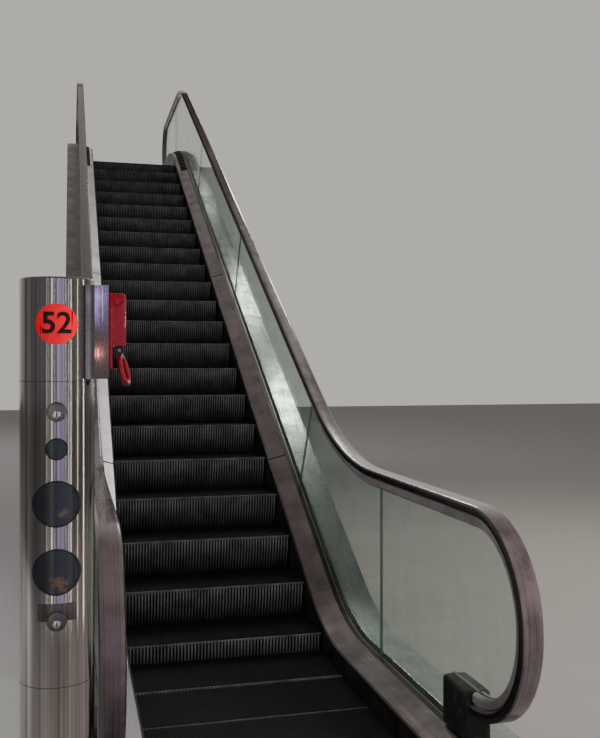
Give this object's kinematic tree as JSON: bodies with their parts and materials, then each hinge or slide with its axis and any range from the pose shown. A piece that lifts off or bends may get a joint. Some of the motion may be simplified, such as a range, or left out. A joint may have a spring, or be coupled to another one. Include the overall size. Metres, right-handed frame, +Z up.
{
  "type": "escalator",
  "caption": "Inclined moving stair between two floors, with glass balustrades, newels, comb plates, a housed truss and a free-standing signal post with a stop switch.",
  "frame": {"origin": "middle of the underside of the lower bearing flange", "axes": "+Y level and up the incline's direction, +X to the right of somebody riding up, +Z up"},
  "size_m": [1.7626, 13.0249, 5.272],
  "materials": {
    "step_casting": "worn satin",
    "tread_rail": "matt",
    "frame_steel": "matt",
    "floor_steel": "worn",
    "comb_aluminium": "worn",
    "housing_steel": "brushed",
    "skirt_black": "satin",
    "deck_steel": "brushed",
    "clamp_aluminium": "dark anodised",
    "clear_glass": "clear",
    "guide_steel": "satin",
    "handrail_rubber": "worn",
    "black_plastic": "matt",
    "post_steel": "brushed",
    "lens_dark": "glossy",
    "lock_chrome": "polished",
    "red_disc": "glossy",
    "red_switch": "satin"
  },
  "bodies": {
    "escalator": {"lower_landing_frame": "frame_steel", "upper_landing_frame": "frame_steel", "lower_floor_plate": "floor_steel", "upper_floor_plate": "floor_steel", "comb_plates": "comb_aluminium", "side_housing_left": "housing_steel", "side_housing_right": "housing_steel", "soffit_panel": "housing_steel", "upper_end_panel": "housing_steel", "skirt_left": "skirt_black", "skirt_right": "skirt_black", "inner_deck_left": "deck_steel", "inner_deck_right": "deck_steel", "outer_deck_left": "deck_steel", "outer_deck_right": "deck_steel", "glass_clamps": "clamp_aluminium", "glass_left": "clear_glass", "glass_right": "clear_glass", "handrail_guide_left": "guide_steel", "handrail_guide_right": "guide_steel", "handrail_left": "handrail_rubber", "handrail_right": "handrail_rubber", "handrail_inlets": "black_plastic", "upper_deck_covers": "black_plastic", "step_tracks": "tread_rail", "signal_post": "post_steel", "post_foot": "post_steel", "signal_lenses": "lens_dark", "key_switches": "lock_chrome", "number_disc": "red_disc", "stop_side_box": "post_steel", "stop_box": "red_switch", "step_01": "step_casting", "step_02": "step_casting", "step_03": "step_casting", "step_04": "step_casting", "step_05": "step_casting", "step_06": "step_casting", "step_07": "step_casting", "step_08": "step_casting", "step_09": "step_casting", "step_10": "step_casting", "step_11": "step_casting", "step_12": "step_casting", "step_13": "step_casting", "step_14": "step_casting", "step_15": "step_casting", "step_16": "step_casting", "step_17": "step_casting", "step_18": "step_casting", "step_19": "step_casting", "step_20": "step_casting", "step_21": "step_casting", "step_22": "step_casting", "step_23": "step_casting", "step_24": "step_casting", "step_25": "step_casting", "step_26": "step_casting", "step_27": "step_casting"},
    "stop_handle": {"stop_handle": "red_switch"}
  },
  "joints": [
    {"name": "stop_handle_hinge", "type": "hinge", "parent": "escalator", "child": "stop_handle", "pos_m": [-0.663, 0.356, 1.589], "axis": [0, -1, 0], "range_deg": [-8, 45]}
  ]
}
